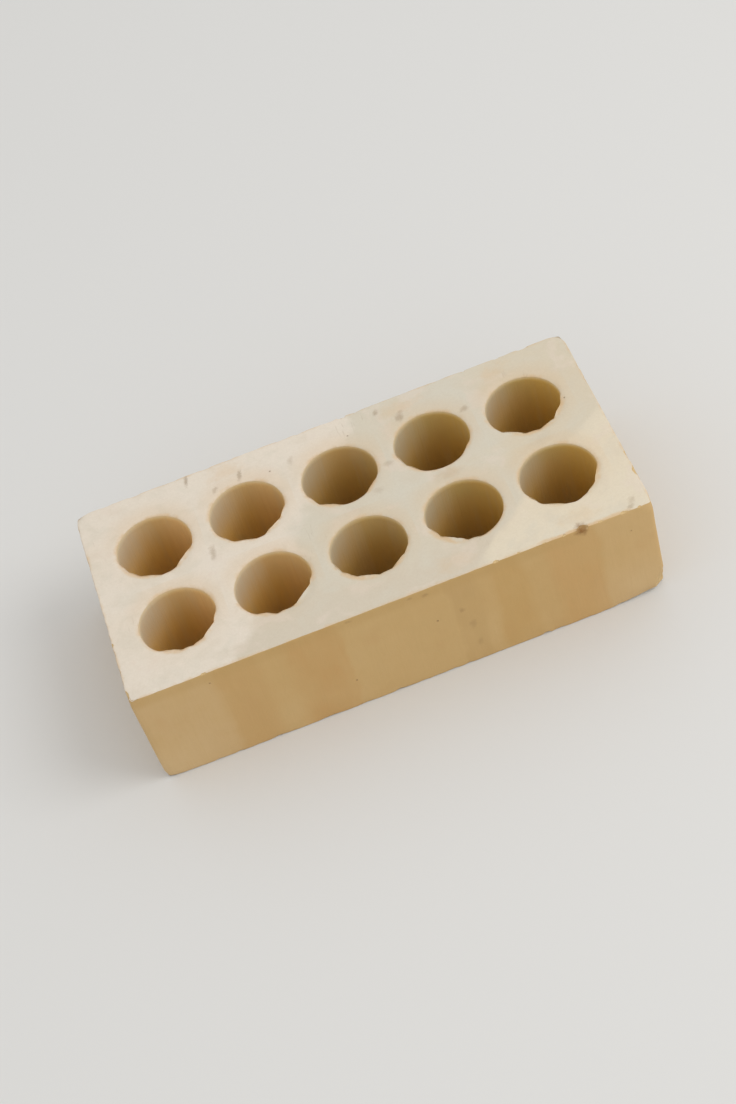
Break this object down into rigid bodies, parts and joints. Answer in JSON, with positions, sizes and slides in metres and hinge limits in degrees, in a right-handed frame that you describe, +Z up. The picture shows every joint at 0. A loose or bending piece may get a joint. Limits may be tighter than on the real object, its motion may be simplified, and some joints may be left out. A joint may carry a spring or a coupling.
{
  "type": "perforated clay facing brick",
  "caption": "Pale buff fired-clay facing brick with round holes in two rows from bed to bed, lying flat, one foot corner knocked off.",
  "frame": {"origin": "centre of the lower bed", "axes": "+X along the brick, +Y across it towards the back stretcher, +Z up along the holes; the knocked-off corner is at +X -Y at the foot"},
  "size_m": [0.21, 0.1, 0.053],
  "materials": {
    "fired_clay": "matt fired clay: pale cream where the wire cut the beds, warmer buff with flash bands on the sides"
  },
  "bodies": {
    "root": {"brick": "fired_clay"}
  },
  "joints": []
}
